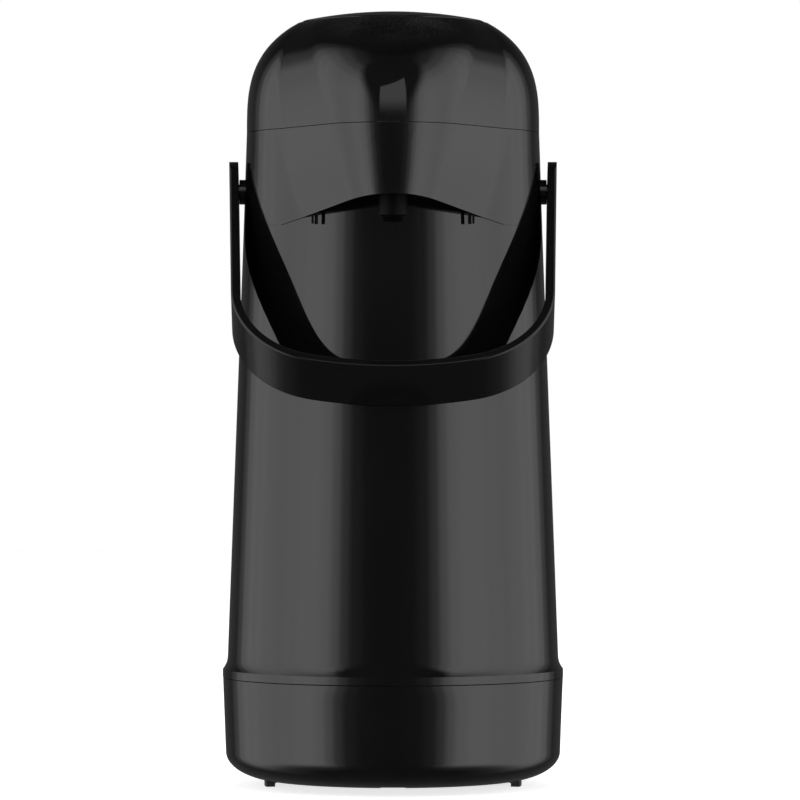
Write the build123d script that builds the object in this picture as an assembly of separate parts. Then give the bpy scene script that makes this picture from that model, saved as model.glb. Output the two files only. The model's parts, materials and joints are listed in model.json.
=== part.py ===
from build123d import *
import os
from math import acos, asin, atan2, cos, degrees, hypot, pi, radians, sin, sqrt

# A one-litre pump airpot: a glass refill in a tapered jacket on a screwed base cup, a collar with
# the pouring beak, a hinged lid that holds the press plate and its bellows, and a carrying bail.
# Millimetres, +Z up. The vessel's axis is the Z axis, the beak points to -Y, the feet stand on z = 0.

# Clearances
fit_gap = 0.3
sliding_gap = 0.4
seam_gap = 0.25
joint_line = 0.08
pin_clearance = 0.05

# Feet and base cup
foot_height = 2.2
foot_mid_r = 48.2
foot_width = 3.4
foot_front_angle = 12.0
foot_seat_depth = 0.8
foot_seat_gap = 0.1
base_height = 42.0
base_top_r = 65.9
base_draft = 1.1
base_corner_width = 20.5
base_corner_height = 11.0
base_wall = 2.6
notch_width = 9.4
notch_depth = 0.6

# Jacket
body_height = 173.82
jacket_top_r = 57.9
jacket_wall = 2.2
jacket_step = 1.8
lip_overhang = 0.1
lip_edge = 0.15
lip_band = 3.0
flare_height = 4.8
screw_depth = 11.0
collar_spigot_height = 5.6

# Glass refill
flask_gap = 3.2
glass_wall = 1.2
vacuum_gap = 3.4
neck_vacuum_gap = 1.3
flask_neck_r = 26.0
flask_bottom_height = 28.0
flask_shoulder_height = 27.0
flask_shoulder_pull = 0.6
flask_neck_height = 9.0
flask_rim = 1.5
spacer_r = 4.0
spacer_height = 36.0
cushion_thickness = 6.0
cushion_r = 34.0
cushion_bore_r = 9.0
cushion_rise = 9.0
neck_seal_thickness = 2.0

# Collar and beak
collar_height = 36.7
collar_wall = 2.4
head_draft = 1.2
beak_reach = 26.6
nose_blend_r = 25.0
low_flank_angle = 55.5
seam_flank_angle = 60.0
top_flank_angle = 64.0
low_blend_share = 0.40
seam_blend_share = 0.25
deck_thickness = 2.4
arch_rise = 10.2
arch_half_width = 42.5
arch_top_r = 60.0
arch_margin = 2.0
apron_rise = 18.0
apron_half_width = 28.0
tab_setback = 4.9
tab_gap = 0.8
tab_prong = 0.85
tab_thickness = 1.2
tab_inset = 0.5
tab_height = 6.2

# Spout and siphon
cover_rise = 13.4
cover_thickness = 1.8
cover_half_width = 27.0
cover_front = 40.0
nozzle_setback = 14.5
nozzle_r = 5.5
nozzle_bore_r = 4.0
nozzle_length = 11.2
nozzle_flange_r = 8.0
nozzle_flange = 0.8
nozzle_spigot = 2.2
nozzle_spigot_wall = 1.0
nozzle_edge_r = 0.8
spout_axis_height = 25.2
spout_tube_wall = 1.2
spout_bend_r = 7.0
barb_length = 9.0
barb_bevel = 0.2
siphon_plug_r = 18.4
siphon_plug_length = 12.0
deck_bore_gap = 2.4
siphon_flange_r = 29.0
siphon_flange = 3.3
siphon_hub_r = 19.0
siphon_port_r = 3.0
siphon_seal_thickness = 1.5
siphon_seal_r = 27.5
air_port_r = 2.0
air_port_offset = 11.5
port_seal_height = 1.4
port_seal_wall = 1.8
port_seal_seat = 0.6
dip_tube_r = 4.5
dip_tube_wall = 1.0
dip_tube_foot_gap = 12.0
ball_r = 4.0
cage_height = 11.0

# Lid
lid_height = 42.5
lid_wall = 2.2
lid_top_wall = 2.6
lid_side_rise = 50.9
lid_side_power = 3.12
lid_nose_rise = 47.6
lid_nose_power = 2.4
liner_thickness = 1.8
liner_recess = 0.7
liner_screw_r = 1.3
liner_screw_head_r = 2.6
liner_screw_head = 1.4
liner_screw_length = 9.0
liner_screw_slot = 0.8
boss_r = 3.2
boss_side = 43.0
boss_back = 10.0
boss_front = 62.0
catch_half_width = 6.0
catch_thickness = 1.4
catch_drop = 4.0
catch_shelf = 6.0

# Lid hinge
hinge_outset = 3.7
knuckle_r = 3.2
knuckle_half = 10.0
lug_width = 8.6
knuckle_gap = 0.4
hinge_web = 7.0
hinge_pin_r = 1.25

# Press plate, its pusher and the bellows
plate_share = 0.6243
plate_setback = 1.0
plate_dome_r = 170.0
plate_wall = 2.2
plate_skirt_wall = 1.6
skirt_stop_gap = 1.7
plate_proud = 0.7
plate_edge_r = 0.6
stroke = 20.0
sleeve_wall = 1.6
sleeve_depth = 29.0
pusher_r = 27.0
pusher_disc = 2.0
pusher_hub_r = 14.0
pusher_hub_wall = 2.0
pusher_drop = 9.8
pusher_hole_r = 1.2
pusher_hole_ring_r = 5.2
valve_r = 8.0
valve_thickness = 1.2
valve_stem_r = 1.6
valve_cap_r = 2.8
valve_cap = 1.4
bellows_r = 29.0
bellows_wall = 1.8
bellows_fold = 4.5
bellows_folds = 9
bellows_base_r = 31.0
bellows_base_wall = 2.0
bellows_base_floor = 2.4
bellows_base_flange = 3.0

# Carrying bail
pivot_rise = 14.0
arm_side_gap = 2.33
bail_thickness = 3.5
bail_width = 22.1
bail_clearance = 15.9
bail_taper = 1.79
bail_corner_r = 38.4
bail_bottom_r = 149.5
bail_edge_r = 0.9
bail_rest_gap = 0.4
pivot_boss_r = 4.8
pivot_pin_r = 3.0
pivot_pin_inside = 4.0
pivot_head_r = 4.7
pivot_head = 1.3
pivot_slot_width = 1.0
pivot_slot_length = 6.8
pivot_slot_depth = 0.6
arm_gap = 0.25
arm_end_shift = 1.0

# Heights that follow from the sizes
base_bottom_z = foot_height
base_floor_z = base_bottom_z + base_wall
lip_z = base_height + joint_line
flare_low_z = lip_z + lip_edge + lip_band
flare_top_z = flare_low_z + flare_height
head_seam_z = base_height + body_height + joint_line
lid_seam_z = head_seam_z + collar_height
lid_top_z = lid_seam_z + lid_height
jacket_top_z = head_seam_z - joint_line / 2
collar_bottom_z = head_seam_z + joint_line / 2
collar_top_z = lid_seam_z - seam_gap / 2
lid_bottom_z = lid_seam_z + seam_gap / 2
spigot_top_z = head_seam_z + collar_spigot_height
deck_z = spigot_top_z + fit_gap
deck_top_z = deck_z + deck_thickness
mouth_z = deck_z - neck_seal_thickness
flask_bottom_z = base_floor_z + cushion_thickness
apron_top_z = head_seam_z + apron_rise
cover_z = head_seam_z + cover_rise
cover_top_z = cover_z + cover_thickness
spout_axis_z = head_seam_z + spout_axis_height
pivot_z = head_seam_z + pivot_rise
liner_z = lid_bottom_z + liner_recess
liner_top_z = liner_z + liner_thickness
base_ring_z = liner_z - bellows_base_flange - bellows_base_floor
siphon_top_z = base_ring_z - fit_gap - port_seal_height
siphon_flange_z = deck_top_z + siphon_seal_thickness

# Radii that follow from the sizes
base_low_r = base_top_r - base_draft
base_inner_r = base_top_r - base_wall
lip_r = base_top_r + lip_overhang
jacket_low_r = base_top_r - jacket_step
screw_r = base_inner_r - base_draft * screw_depth / base_height - fit_gap
collar_spigot_r = jacket_top_r - collar_wall - fit_gap
apron_inner_r = collar_spigot_r - jacket_wall
deck_bore_r = siphon_plug_r + deck_bore_gap
head_seam_r = jacket_top_r
lid_seam_r = head_seam_r - head_draft
flask_r = jacket_top_r - jacket_wall - flask_gap
inner_flask_r = flask_r - glass_wall - vacuum_gap
inner_neck_r = flask_neck_r - glass_wall - neck_vacuum_gap
nose_reach = head_seam_r + beak_reach
nozzle_forward = nose_reach - nozzle_setback
hinge_y = lid_seam_r + hinge_outset
plate_r = plate_share * lid_seam_r
well_r = plate_r + sliding_gap
plate_y = -plate_setback
arm_inner_x = head_seam_r - head_draft * pivot_rise / collar_height + arm_side_gap
arm_outer_x = arm_inner_x + bail_thickness
bail_inner_reach = nose_reach + bail_clearance
bail_outer_reach = bail_inner_reach + bail_thickness

# Heights of the press plate, which follow from its radius
plate_edge_z = lid_top_z + plate_proud
dome_rise = plate_dome_r - sqrt(plate_dome_r ** 2 - plate_r ** 2)
plate_top_z = plate_edge_z + dome_rise
pusher_z = plate_top_z - plate_wall - pusher_drop


def mix(low, high, share):
    return low + (high - low) * share


def at(r, z):
    # a point in the half plane that the round pieces are turned from
    return (r, 0, z)


def turned(*edges):
    return revolve(make_face(list(edges)), Axis.Z)


def turned_outline(*points):
    corners = [at(r, z) for r, z in points]
    return turned(*Polyline(*corners, close=True).edges())


def quarter(start, end):
    # a quarter of an ellipse that leaves start level and reaches end upright
    quarter_pull = 0.5523
    (r0, z0), (r1, z1) = start, end
    level = at(mix(r0, r1, quarter_pull), z0)
    upright = at(r1, mix(z1, z0, quarter_pull))
    return Bezier(at(r0, z0), level, upright, at(r1, z1))


def tube(outer_r, inner_r, low_z, high_z):
    return turned_outline((inner_r, low_z), (outer_r, low_z), (outer_r, high_z), (inner_r, high_z))


def drum(radius, low_z, high_z, x=0.0, y=0.0):
    height = high_z - low_z
    return Pos(x, y, low_z + height / 2) * Cylinder(radius, height)


def bar_x(radius, low_x, high_x, y, z):
    length = high_x - low_x
    return Pos(low_x + length / 2, y, z) * Rot(0, 90, 0) * Cylinder(radius, length)


def bar_y(radius, low_y, high_y, z):
    length = high_y - low_y
    return Pos(0, low_y + length / 2, z) * Rot(90, 0, 0) * Cylinder(radius, length)


def block(x0, x1, y0, y1, z0, z1):
    return Pos((x0 + x1) / 2, (y0 + y1) / 2, (z0 + z1) / 2) * Box(x1 - x0, y1 - y0, z1 - z0)


def ring_sector(outer_r, inner_r, low_z, high_z, middle_angle, half_angle):
    corners = [at(inner_r, low_z), at(outer_r, low_z), at(outer_r, high_z), at(inner_r, high_z)]
    outline = make_face(Polyline(*corners, close=True).edges())
    sector = revolve(outline, Axis.Z, revolution_arc=2 * half_angle)
    return Rot(0, 0, middle_angle - half_angle) * sector


def jacket_slope():
    return (jacket_low_r - jacket_top_r) / (jacket_top_z - flare_top_z)


def jacket_r(z):
    # the jacket's straight taper, carried on above the seam behind the beak
    return jacket_top_r + jacket_slope() * (jacket_top_z - z)


def head_shape(z, inset):
    # half width, beak reach, flank angle and blend share of the head's plan at a height
    if z <= lid_seam_z:
        share = (z - head_seam_z) / collar_height
        side = mix(head_seam_r, lid_seam_r, share) - inset
        angle = mix(low_flank_angle, seam_flank_angle, share)
        return side, nose_reach - inset, angle, mix(low_blend_share, seam_blend_share, share)
    rise = z - lid_seam_z
    side = (lid_seam_r - inset) * sqrt(1 - (rise / (lid_side_rise - inset)) ** lid_side_power)
    reach = (nose_reach - inset) * sqrt(1 - (rise / (lid_nose_rise - inset)) ** lid_nose_power)
    return side, reach, mix(seam_flank_angle, top_flank_angle, rise / lid_height), seam_blend_share


def flank_sizes(z, inset):
    # radius and centre of the beak's tip, lean and length of its flanks, turn where the blends end
    side, reach, angle, blend_share = head_shape(z, inset)
    blend = nose_blend_r + inset
    lean = radians(angle)
    nose = (side - reach * cos(lean)) / (1 - cos(lean))
    for _ in range(6):
        offset = blend_share * (reach - nose) * sin(lean)
        nose = (sqrt((side + blend) ** 2 - offset ** 2) - blend - reach * cos(lean)) / (1 - cos(lean))
    centre = reach - nose
    offset = blend_share * centre * sin(lean)
    run = centre * sin(lean) - offset
    return nose, centre, lean, run, lean - asin(offset / (side + blend))


def head_plan(z, inset=0.0):
    # the head's plan: a round back, two hollow blends, two straight flanks and a round nose
    side, reach, _, _ = head_shape(z, inset)
    nose, centre, lean, run, turn = flank_sizes(z, inset)
    blend = nose_blend_r + inset
    hollow = ((side + blend) * sin(turn), (side + blend) * cos(turn))
    middle = (turn + lean) / 2
    nose_end = (nose * sin(lean), centre + nose * cos(lean))
    flank_end = (nose_end[0] + run * cos(lean), nose_end[1] - run * sin(lean))
    blend_mid = (hollow[0] - blend * sin(middle), hollow[1] - blend * cos(middle))
    side_start = (side * sin(turn), side * cos(turn))
    back_turn = (turn + pi) / 2
    back_mid = (side * sin(back_turn), side * cos(back_turn))

    def spot(point, hand):
        return (hand * point[0], -point[1], z)

    edges = []
    for hand in (1, -1):
        edges.append(Line(spot(nose_end, hand), spot(flank_end, hand)))
        edges.append(ThreePointArc(spot(flank_end, hand), spot(blend_mid, hand), spot(side_start, hand)))
        edges.append(ThreePointArc(spot(side_start, hand), spot(back_mid, hand), (0, side, z)))
    edges.append(ThreePointArc(spot(nose_end, 1), (0, -reach, z), spot(nose_end, -1)))
    return make_face([edge.edge() for edge in edges])


def head_loft(heights, inset=0.0):
    return loft([head_plan(z, inset) for z in heights])


def head_slab(z, inset, thickness):
    return head_loft([z, z + thickness / 2, z + thickness], inset)


def arch_near():
    # how far forward of the axis the arched opening in the collar begins
    return sqrt((head_seam_r - collar_wall) ** 2 - arch_half_width ** 2) - arch_margin


def arch_prism(drop):
    # everything under the beak's arched lower rim, seen from the front
    low_z = collar_bottom_z - arch_margin
    foot_z = collar_bottom_z - drop
    centre_z = foot_z + arch_rise - arch_top_r
    span = hypot(arch_half_width, arch_top_r - arch_rise)
    turn = atan2(arch_half_width, arch_top_r - arch_rise) - acos(arch_top_r / span)
    side = (arch_top_r * sin(turn), centre_z + arch_top_r * cos(turn))
    outline = [
        Line((-arch_half_width, 0, low_z), (arch_half_width, 0, low_z)),
        Line((arch_half_width, 0, low_z), (arch_half_width, 0, foot_z)),
        Line((arch_half_width, 0, foot_z), (side[0], 0, side[1])),
        ThreePointArc((side[0], 0, side[1]), (0, 0, foot_z + arch_rise), (-side[0], 0, side[1])),
        Line((-side[0], 0, side[1]), (-arch_half_width, 0, foot_z)),
        Line((-arch_half_width, 0, foot_z), (-arch_half_width, 0, low_z)),
    ]
    face = make_face([edge.edge() for edge in outline])
    return Pos(0, -arch_near(), 0) * extrude(face, amount=nose_reach, dir=(0, -1, 0))


def foot_arc(width, low_z):
    # runs round the back from one side to the other and leaves the front open
    outer_r = foot_mid_r + width / 2
    inner_r = foot_mid_r - width / 2
    top_z = base_bottom_z + foot_seat_depth
    return ring_sector(outer_r, inner_r, low_z, top_z, 90, 90 + foot_front_angle)


def make_foot_ring():
    return foot_arc(foot_width, 0)


def make_base_cup():
    corner_r = base_low_r - base_corner_width
    corner_z = base_bottom_z + base_corner_height
    outside = [
        Line(at(0, base_bottom_z), at(corner_r, base_bottom_z)),
        quarter((corner_r, base_bottom_z), (base_low_r, corner_z)),
        Line(at(base_low_r, corner_z), at(base_top_r, base_height - lip_edge)),
        Line(at(base_top_r, base_height - lip_edge), at(base_top_r - lip_edge, base_height)),
        Line(at(base_top_r - lip_edge, base_height), at(base_inner_r, base_height)),
    ]
    inside = [
        Line(at(base_inner_r, base_height), at(base_low_r - base_wall, corner_z)),
        quarter((corner_r, base_floor_z), (base_low_r - base_wall, corner_z)),
        Line(at(corner_r, base_floor_z), at(0, base_floor_z)),
        Line(at(0, base_floor_z), at(0, base_bottom_z)),
    ]
    cup = turned(*[edge.edge() for edge in outside + inside])
    seat = foot_arc(foot_width + 2 * foot_seat_gap, base_bottom_z - 1)
    notch = block(-notch_width / 2, notch_width / 2, -base_top_r, 0, 0, base_bottom_z + notch_depth)
    notch -= drum(corner_r - notch_width / 2, 0, base_bottom_z + 2)
    return cup - seat - notch


def make_jacket():
    foot_z = base_height - screw_depth
    taper = (jacket_low_r - jacket_top_r, 0, flare_top_z - jacket_top_z)
    upwards = [
        at(jacket_low_r, flare_top_z),
        at(jacket_top_r, jacket_top_z),
        at(collar_spigot_r, jacket_top_z),
        at(collar_spigot_r, spigot_top_z),
    ]
    downwards = [
        at(collar_spigot_r - jacket_wall, spigot_top_z),
        at(collar_spigot_r - jacket_wall, jacket_top_z - 2 * jacket_wall),
        at(jacket_top_r - jacket_wall, jacket_top_z - 3 * jacket_wall),
        at(jacket_low_r - jacket_wall, flare_top_z),
        at(screw_r - jacket_wall, lip_z),
        at(screw_r - jacket_wall, foot_z),
        at(screw_r, foot_z),
        at(screw_r, lip_z),
        at(lip_r - lip_edge, lip_z),
        at(lip_r, lip_z + lip_edge),
        at(lip_r, flare_low_z),
    ]
    outline = Polyline(*(upwards + downwards)).edges()
    outline.append(TangentArc(upwards[0], downwards[-1], tangent=taper).edge())
    return turned(*outline) + make_apron()


def make_apron():
    # the jacket's front goes on upwards behind the beak, under the arched rim
    low_z = jacket_top_z - 1
    wall_low = jacket_r(low_z)
    wall_high = jacket_r(apron_top_z)
    ring = turned_outline(
        (apron_inner_r, low_z),
        (wall_low, low_z),
        (wall_high, apron_top_z),
        (apron_inner_r, apron_top_z),
    )
    middle = block(-apron_half_width, apron_half_width, -jacket_low_r, 0, low_z, apron_top_z)
    under_arch = arch_prism(seam_gap)
    front = ring & (middle + under_arch)
    hidden = block(-jacket_low_r, jacket_low_r, -arch_near(), jacket_low_r, low_z, apron_top_z)
    return front - hidden


def flask_outline(radius, neck, bottom_z, top_z):
    shoulder_top = mouth_z - flask_neck_height
    shoulder_low = shoulder_top - flask_shoulder_height
    side_z = bottom_z + flask_bottom_height
    pull = flask_shoulder_pull * flask_shoulder_height
    return [
        quarter((0, bottom_z), (radius, side_z)).edge(),
        Line(at(radius, side_z), at(radius, shoulder_low)).edge(),
        Bezier(
            at(radius, shoulder_low),
            at(radius, shoulder_low + pull),
            at(neck, shoulder_top - pull),
            at(neck, shoulder_top),
        ).edge(),
        Line(at(neck, shoulder_top), at(neck, top_z)).edge(),
    ]


def flask_body(radius, neck, bottom_z, top_z):
    edges = flask_outline(radius, neck, bottom_z, top_z)
    edges.append(Line(at(neck, top_z), at(0, top_z)).edge())
    edges.append(Line(at(0, top_z), at(0, bottom_z)).edge())
    return revolve(make_face(edges), Axis.Z)


def make_outer_flask():
    top_z = mouth_z - flask_rim
    bottom_z = flask_bottom_z
    solid = flask_body(flask_r, flask_neck_r, bottom_z, top_z)
    return solid - flask_body(flask_r - glass_wall, flask_neck_r - glass_wall, bottom_z + glass_wall, top_z)


def make_inner_flask():
    bottom_z = flask_bottom_z + glass_wall + vacuum_gap
    solid = flask_body(inner_flask_r, inner_neck_r, bottom_z, mouth_z)
    solid += drum(flask_neck_r, mouth_z - flask_rim, mouth_z)
    hollow_r = inner_flask_r - glass_wall
    return solid - flask_body(hollow_r, inner_neck_r - glass_wall, bottom_z + glass_wall, mouth_z)


def make_flask_spacers():
    low_r = inner_flask_r + fit_gap
    length = vacuum_gap - 2 * fit_gap
    pads = []
    for turn in (30, 150, 270):
        disc = bar_x(spacer_r, low_r, low_r + length, 0, flask_bottom_z + spacer_height)
        pads.append(Rot(0, 0, turn) * disc)
    return Compound(children=pads)


def make_refill_cushion():
    cushion = tube(cushion_r, cushion_bore_r, base_floor_z, flask_bottom_z + cushion_rise)
    return cushion - flask_body(flask_r + fit_gap, flask_neck_r, flask_bottom_z - fit_gap, mouth_z)


def make_neck_seal():
    return tube(flask_neck_r, inner_neck_r - glass_wall, mouth_z, deck_z)


def collar_deck():
    # the floor that holds the flask down: free at the front behind the apron, joined to the wall behind
    deck = drum(head_seam_r - collar_wall / 2, deck_z, deck_top_z)
    deck &= block(-head_seam_r, head_seam_r, -arch_near(), head_seam_r, deck_z, deck_top_z)
    deck += drum(apron_inner_r - fit_gap, deck_z, deck_top_z)
    return deck - drum(deck_bore_r, deck_z - 1, deck_top_z + 1)


def snap_tabs():
    # two slotted tabs that hang from the beak's flanks, one on each side
    nose, centre, lean, run, _ = flank_sizes(head_seam_z, 0)
    along = run - tab_setback
    tab_x = nose * sin(lean) + along * cos(lean)
    tab_y = along * sin(lean) - nose * cos(lean) - centre
    high_z = collar_bottom_z + tab_height
    tabs = []
    for prong in (-1, 1):
        near = tab_x + prong * (tab_gap + tab_prong) / 2 - tab_prong / 2
        far = near + tab_prong
        front = tab_y + (far - tab_x) * sin(lean) / cos(lean) + tab_inset
        right = block(near, far, front, front + tab_thickness, collar_bottom_z, high_z)
        tabs.append(right)
        tabs.append(mirror(right, about=Plane.YZ))
    return tabs


def pivot_bosses():
    inside = head_seam_r - head_draft - collar_wall / 2
    outside = arm_inner_x - arm_gap
    right = bar_x(pivot_boss_r, inside, outside, 0, pivot_z)
    left = bar_x(pivot_boss_r, -outside, -inside, 0, pivot_z)
    return right + left


def hinge_lugs():
    lugs = []
    inside = knuckle_half + knuckle_gap
    wall_y = lid_seam_r - collar_wall / 2
    for low_x in (inside, -inside - lug_width):
        high_x = low_x + lug_width
        lugs.append(bar_x(knuckle_r, low_x, high_x, hinge_y, lid_seam_z))
        lugs.append(block(low_x, high_x, wall_y, hinge_y, lid_seam_z - hinge_web, collar_top_z))
    return lugs


def make_collar():
    middle_z = (collar_bottom_z + collar_top_z) / 2
    shell = head_loft([collar_bottom_z, middle_z, collar_top_z])
    hollow = head_loft([collar_bottom_z - 1, middle_z, lid_seam_z], collar_wall)
    shell = shell - hollow - arch_prism(0)
    shell += collar_deck()
    shell += pivot_bosses()
    for lug in hinge_lugs():
        shell += lug
    pin_bore_r = pivot_pin_r + pin_clearance
    shell -= bar_x(pin_bore_r, -arm_outer_x, arm_outer_x, 0, pivot_z)
    hinge_span = knuckle_half + knuckle_gap + lug_width
    shell -= bar_x(hinge_pin_r + pin_clearance, -hinge_span, hinge_span, hinge_y, lid_seam_z)
    for tab in snap_tabs():
        shell += tab
    return shell


def make_spout_cover():
    plate = head_slab(cover_z, collar_wall + fit_gap, cover_thickness)
    plate &= block(-cover_half_width, cover_half_width, -nose_reach, -cover_front, cover_z, cover_top_z)
    plate -= drum(jacket_top_r + fit_gap, cover_z - 1, cover_top_z + 1)
    return plate - drum(nozzle_r + fit_gap, cover_z - 1, cover_top_z + 1, 0, -nozzle_forward)


def make_nozzle():
    low_z = cover_z - nozzle_length
    flange_top = cover_top_z + nozzle_flange
    spigot_r = nozzle_bore_r - pin_clearance
    nozzle = drum(nozzle_r, low_z, cover_top_z)
    nozzle = fillet(nozzle.edges().sort_by(Axis.Z)[0], nozzle_edge_r)
    nozzle += drum(nozzle_flange_r, cover_top_z, flange_top)
    nozzle += drum(spigot_r, flange_top, flange_top + nozzle_spigot)
    nozzle -= drum(spigot_r - nozzle_spigot_wall, low_z - 1, flange_top + nozzle_spigot + 1)
    return Pos(0, -nozzle_forward, 0) * nozzle


def make_spout_tube():
    start_y = -siphon_hub_r - fit_gap
    bend_y = -nozzle_forward + spout_bend_r
    low_z = cover_top_z + nozzle_flange
    bend_z = spout_axis_z - spout_bend_r
    middle = spout_bend_r * sin(pi / 4)
    arc_mid = (0, bend_y - middle, bend_z + middle)
    path = Wire([
        Line((0, start_y, spout_axis_z), (0, bend_y, spout_axis_z)).edge(),
        ThreePointArc((0, bend_y, spout_axis_z), arc_mid, (0, -nozzle_forward, bend_z)).edge(),
        Line((0, -nozzle_forward, bend_z), (0, -nozzle_forward, low_z)).edge(),
    ])
    mouth = Plane(origin=(0, start_y, spout_axis_z), z_dir=(0, -1, 0))
    skin = sweep(mouth * Circle(nozzle_bore_r + spout_tube_wall), path=path)
    bore = sweep(mouth * Circle(nozzle_bore_r), path=path)
    return skin - bore


def make_siphon_head():
    plug_z = deck_z - siphon_plug_length
    head = drum(siphon_plug_r, plug_z, siphon_flange_z)
    head += drum(siphon_flange_r, siphon_flange_z, siphon_flange_z + siphon_flange)
    head += drum(siphon_hub_r, siphon_flange_z, siphon_top_z)
    barb_r = nozzle_bore_r - pin_clearance
    head += bar_y(barb_r, -siphon_hub_r - barb_length, 0, spout_axis_z)
    cage_low = spout_axis_z + siphon_port_r - cage_height
    head -= drum(dip_tube_r + pin_clearance, plug_z - 1, cage_low)
    head -= drum(ball_r + sliding_gap, cage_low, spout_axis_z + siphon_port_r)
    head -= bar_y(siphon_port_r - barb_bevel, -siphon_hub_r - barb_length - 1, 0, spout_axis_z)
    head -= drum(air_port_r, plug_z - 1, siphon_top_z + 1, 0, air_port_offset)
    seat_r = air_port_r + port_seal_wall + pin_clearance
    return head - drum(seat_r, siphon_top_z - port_seal_seat, siphon_top_z + 1, 0, air_port_offset)


def make_port_seal():
    # the rubber ring that carries the pumped air from the bellows into the siphon head
    low_z = siphon_top_z - port_seal_seat
    high_z = siphon_top_z + port_seal_height
    return Pos(0, air_port_offset, 0) * tube(air_port_r + port_seal_wall, air_port_r, low_z, high_z)


def make_siphon_seal():
    return tube(siphon_seal_r, deck_bore_r, deck_top_z, siphon_flange_z)


def make_dip_tube():
    cage_low = spout_axis_z + siphon_port_r - cage_height
    low_z = flask_bottom_z + 2 * glass_wall + vacuum_gap + dip_tube_foot_gap
    return tube(dip_tube_r, dip_tube_r - dip_tube_wall, low_z, cage_low)


def make_check_ball():
    cage_low = spout_axis_z + siphon_port_r - cage_height
    seat_r = dip_tube_r - dip_tube_wall
    return Pos(0, 0, cage_low + sqrt(ball_r ** 2 - seat_r ** 2) + fit_gap) * Sphere(ball_r)


def lid_shares():
    return (0.0, 0.2, 0.42, 0.62, 0.78, 0.9, 1.0)


def lid_outer():
    return head_loft([mix(lid_bottom_z, lid_top_z, share) for share in lid_shares()])


def lid_hollow():
    top_z = lid_top_z - lid_top_wall
    return head_loft([mix(lid_seam_z, top_z, share) for share in lid_shares()], lid_wall)


def boss_spots():
    return [(-boss_side, boss_back), (boss_side, boss_back), (0, -boss_front)]


def make_lid_shell():
    outer = lid_outer()
    shell = outer - lid_hollow()
    sleeve = drum(well_r + sleeve_wall, lid_top_z - sleeve_depth, lid_top_z, 0, plate_y)
    bosses = [drum(boss_r, liner_top_z, lid_top_z, x, y) for x, y in boss_spots()]
    for inner in [sleeve] + bosses:
        shell += inner & outer
    shell -= drum(well_r, liner_top_z, lid_top_z + 1, 0, plate_y)
    for x, y in boss_spots():
        shell -= drum(liner_screw_r, liner_top_z, liner_z + liner_screw_length, x, y)
    knuckle = bar_x(knuckle_r, -knuckle_half, knuckle_half, hinge_y, lid_seam_z)
    web_low = lid_seam_r - lid_wall / 2
    knuckle += block(-knuckle_half, knuckle_half, web_low, hinge_y, lid_bottom_z, lid_seam_z + hinge_web)
    shell += knuckle
    return shell - bar_x(hinge_pin_r + pin_clearance, -knuckle_half, knuckle_half, hinge_y, lid_seam_z)


def make_hinge_pin():
    half = knuckle_half + knuckle_gap + lug_width
    return bar_x(hinge_pin_r, -half, half, hinge_y, lid_seam_z)


def make_lid_liner():
    liner = head_slab(liner_z, lid_wall + fit_gap, liner_thickness)
    liner -= drum(bellows_base_r, liner_z - 1, liner_top_z + 1, 0, plate_y)
    for x, y in boss_spots():
        liner -= drum(liner_screw_r + pin_clearance, liner_z - 1, liner_top_z + 1, x, y)
    return liner


def make_lid_screws():
    screws = []
    head_z = liner_z - liner_screw_head
    half_slot = liner_screw_slot / 2
    for x, y in boss_spots():
        screw = drum(liner_screw_head_r, head_z, liner_z, x, y)
        screw += drum(liner_screw_r - pin_clearance, liner_z, liner_z + liner_screw_length - 1, x, y)
        slot_top = head_z + liner_screw_head / 2
        near_y = y - liner_screw_head_r
        far_y = y + liner_screw_head_r
        screw -= block(x - half_slot, x + half_slot, near_y, far_y, head_z - 1, slot_top)
        screws.append(screw)
    return Compound(children=screws)


def make_lid_catch():
    # a springy tongue under the liner that holds the lid by the inside of the beak
    front = -(nose_reach - collar_wall - fit_gap - 1)
    low_z = collar_top_z - catch_drop
    tongue = block(-catch_half_width, catch_half_width, front, front + catch_thickness, low_z, liner_z)
    shelf_y = front + catch_shelf
    shelf = block(-catch_half_width, catch_half_width, front, shelf_y, liner_z - catch_thickness, liner_z)
    return tongue + shelf


def make_bellows_base():
    # a shallow cup under the lid, hung by its flange from the liner, with the air hole in its floor
    outer_r = bellows_base_r + bellows_base_wall
    flange_z = liner_z - bellows_base_flange / 2
    floor_top = base_ring_z + bellows_base_floor
    base = turned_outline(
        (0, base_ring_z),
        (outer_r, base_ring_z),
        (outer_r, flange_z),
        (outer_r + bellows_base_flange, flange_z),
        (outer_r + bellows_base_flange, liner_z),
        (bellows_base_r, liner_z),
        (bellows_base_r, floor_top),
        (0, floor_top),
    )
    base = Pos(0, plate_y, 0) * base
    return base - drum(air_port_r, base_ring_z - 1, floor_top + 1, 0, air_port_offset)


def make_bellows():
    # an accordion of round folds between the base ring and the pusher
    low_z = base_ring_z + bellows_base_floor
    high_z = pusher_z
    pitch = (high_z - low_z) / bellows_folds
    outer = [(bellows_r - bellows_fold, low_z)]
    for fold in range(bellows_folds):
        outer.append((bellows_r, low_z + (fold + 0.5) * pitch))
        outer.append((bellows_r - bellows_fold, low_z + (fold + 1) * pitch))
    inner = [(r - bellows_wall, z) for r, z in reversed(outer)]
    return Pos(0, plate_y, 0) * turned_outline(*(outer + inner))


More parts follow.
